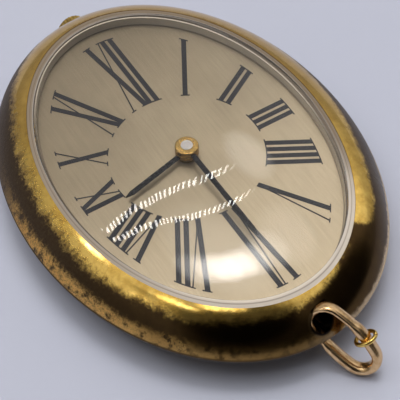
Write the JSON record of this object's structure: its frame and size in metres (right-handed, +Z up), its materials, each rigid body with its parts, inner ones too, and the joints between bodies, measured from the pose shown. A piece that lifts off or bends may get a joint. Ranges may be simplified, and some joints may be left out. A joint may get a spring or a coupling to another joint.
{
  "type": "pendant watch",
  "caption": "Oval pendant watch with a convex gilt rim, domed crystal, Roman numeral dial, hand-wound movement and a swinging bail.",
  "frame": {"origin": "on the flat of the case back, below the axis of the hands", "axes": "+Z up out of the dial, +Y towards twelve o'clock and the crown, -Y towards the bail at six"},
  "size_m": [0.0298, 0.044, 0.0078],
  "materials": {
    "gilt": "polished gilt, worn",
    "dial": "brushed champagne",
    "ink": "printed black",
    "hand_black": "satin black",
    "acrylic": "clear acrylic",
    "silver": "bright",
    "holder": "cast",
    "gasket": "matt",
    "nickel": "fine grained",
    "brass": "turned",
    "steel": "polished",
    "ruby": "polished"
  },
  "bodies": {
    "case": {"case_shell": "gilt", "case_back": "gilt", "back_gasket": "gasket", "crystal": "acrylic", "reflector_ring": "silver", "crown_tube": "brass", "movement_holder": "holder", "case_clamps": "steel", "clamp_screws": "steel", "dial": "dial", "numerals": "ink", "dial_foot_screws": "steel", "main_plate": "nickel", "barrel_bridge": "nickel", "train_bridge": "nickel", "balance_cock": "nickel", "pallet_bridge": "nickel", "crown_wheel_screw": "steel", "click_spring": "steel", "hairspring": "steel", "hairspring_stud": "steel", "jewels": "ruby", "bridge_screws": "steel", "plate_posts": "steel"},
    "bail": {"bail_link": "gilt"},
    "ring": {"jump_ring": "gilt"},
    "winding": {"winding_pinion": "steel"},
    "stem": {"winding_stem": "steel", "crown": "gilt"},
    "clutch": {"sliding_clutch": "steel"},
    "lever": {"setting_lever": "steel"},
    "yoke": {"yoke": "steel"},
    "crown_wheel": {"crown_wheel": "steel"},
    "ratchet": {"ratchet_wheel": "steel", "ratchet_screw": "steel", "barrel_arbor": "steel"},
    "click": {"click": "steel"},
    "centre": {"centre_arbor": "steel", "centre_wheel": "brass"},
    "minute": {"cannon_pinion": "steel", "minute_hand_blade": "hand_black", "minute_hand_boss": "gilt"},
    "hour": {"hour_wheel": "brass", "hour_hand_blade": "hand_black", "hour_hand_boss": "gilt"},
    "motion": {"minute_wheel": "brass"},
    "setting": {"setting_wheel": "brass", "setting_arbor": "steel"},
    "barrel": {"barrel_drum": "brass", "barrel_cover": "brass", "mainspring": "steel"},
    "third": {"third_wheel": "brass"},
    "fourth": {"fourth_wheel": "brass"},
    "escape": {"escape_wheel": "steel"},
    "balance": {"balance_wheel": "brass", "balance_staff": "steel", "roller_table": "brass"},
    "fork": {"pallet_fork": "steel", "pallet_stones": "ruby"},
    "regulator": {"regulator": "steel"}
  },
  "joints": [
    {"name": "bail_swing", "type": "hinge", "parent": "case", "child": "bail", "pos_m": [0.00088, -0.01906, 0.00432], "axis": [0.6966, 0.644, -0.3163], "range_deg": [-14, 14]},
    {"name": "ring_slide", "type": "hinge", "parent": "bail", "child": "ring", "pos_m": [-0.00359, -0.01773, -0.00281], "axis": [0.6966, 0.644, -0.3163], "range_deg": [-8, 6]},
    {"name": "crown_turn", "type": "hinge", "parent": "case", "child": "winding", "pos_m": [0, 0.008, 0.0021], "axis": [0, 1, 0], "continuous": true},
    {"name": "crown_pull", "type": "slide", "parent": "winding", "child": "stem", "axis": [0, 1, 0], "range_m": [0, 0.0006]},
    {"name": "clutch_slide", "type": "slide", "parent": "winding", "child": "clutch", "axis": [0, 1, 0], "range_m": [-0.00035, 0]},
    {"name": "lever_turn", "type": "hinge", "parent": "case", "child": "lever", "pos_m": [0.0026, 0.00735, 0.00425], "axis": [0, 0, 1], "range_deg": [-13.5, 0]},
    {"name": "yoke_turn", "type": "hinge", "parent": "case", "child": "yoke", "pos_m": [-0.0029, 0.0056, 0.00425], "axis": [0, 0, 1], "range_deg": [-7.2, 0]},
    {"name": "crown_wheel_turn", "type": "hinge", "parent": "case", "child": "crown_wheel", "pos_m": [0, 0.00543, 0.001], "axis": [0, 0, 1], "continuous": true},
    {"name": "ratchet_turn", "type": "hinge", "parent": "case", "child": "ratchet", "pos_m": [-0.00441, 0.00161, 0.001], "axis": [0, 0, 1], "continuous": true},
    {"name": "click_lift", "type": "hinge", "parent": "case", "child": "click", "pos_m": [-0.00702, -0.00201, 0.001], "axis": [0, 0, 1], "range_deg": [-12, 0], "stiffness_Nm_per_rad": 0.000001},
    {"name": "minute_turn", "type": "hinge", "parent": "case", "child": "minute", "pos_m": [0, 0, 0.003], "axis": [0, 0, -1], "continuous": true},
    {"name": "hour_turn", "type": "hinge", "parent": "case", "child": "hour", "pos_m": [0, 0, 0.0045], "axis": [0, 0, -1], "continuous": true},
    {"name": "centre_turn", "type": "hinge", "parent": "case", "child": "centre", "pos_m": [0, 0, 0.0025], "axis": [0, 0, -1], "continuous": true},
    {"name": "motion_turn", "type": "hinge", "parent": "case", "child": "motion", "pos_m": [0.0009, 0.00179, 0.0043], "axis": [0, 0, -1], "continuous": true},
    {"name": "setting_turn", "type": "hinge", "parent": "case", "child": "setting", "pos_m": [0.0011, 0.00458, 0.0043], "axis": [0, 0, -1], "continuous": true},
    {"name": "barrel_turn", "type": "hinge", "parent": "case", "child": "barrel", "pos_m": [-0.00441, 0.00161, 0.0027], "axis": [0, 0, -1], "continuous": true},
    {"name": "third_turn", "type": "hinge", "parent": "case", "child": "third", "pos_m": [0.00265, 0.00186, 0.0025], "axis": [0, 0, -1], "continuous": true},
    {"name": "fourth_turn", "type": "hinge", "parent": "case", "child": "fourth", "pos_m": [0.00451, -0.00036, 0.0029], "axis": [0, 0, -1], "continuous": true},
    {"name": "escape_turn", "type": "hinge", "parent": "case", "child": "escape", "pos_m": [0.00361, -0.00284, 0.0024], "axis": [0, 0, -1], "continuous": true},
    {"name": "balance_swing", "type": "hinge", "parent": "case", "child": "balance", "pos_m": [-0.00101, -0.00529, 0.0017], "axis": [0, 0, 1], "range_deg": [-270, 270], "stiffness_Nm_per_rad": 0.00000004},
    {"name": "fork_swing", "type": "hinge", "parent": "case", "child": "fork", "pos_m": [0.00158, -0.00392, 0.0024], "axis": [0, 0, 1], "range_deg": [-5, 5]},
    {"name": "regulator_turn", "type": "hinge", "parent": "case", "child": "regulator", "pos_m": [-0.00101, -0.00529, 0.0008], "axis": [0, 0, 1], "range_deg": [-15, 15]}
  ],
  "couplings": [
    {"joint": "clutch_slide", "follows": "crown_pull", "ratio": -0.58333},
    {"joint": "lever_turn", "follows": "crown_pull", "rad_per_m": -384.62},
    {"joint": "yoke_turn", "follows": "crown_pull", "rad_per_m": -201.15},
    {"joint": "crown_wheel_turn", "follows": "crown_turn", "ratio": 0.42857},
    {"joint": "ratchet_turn", "follows": "crown_turn", "ratio": -0.26667},
    {"joint": "hour_turn", "follows": "minute_turn", "ratio": 0.083333},
    {"joint": "motion_turn", "follows": "minute_turn", "ratio": -0.33333},
    {"joint": "setting_turn", "follows": "minute_turn", "ratio": 0.38462},
    {"joint": "centre_turn", "follows": "fourth_turn", "ratio": 0.016667},
    {"joint": "barrel_turn", "follows": "fourth_turn", "ratio": -0.0020833},
    {"joint": "third_turn", "follows": "fourth_turn", "ratio": -0.13333},
    {"joint": "escape_turn", "follows": "fourth_turn", "ratio": -10}
  ]
}
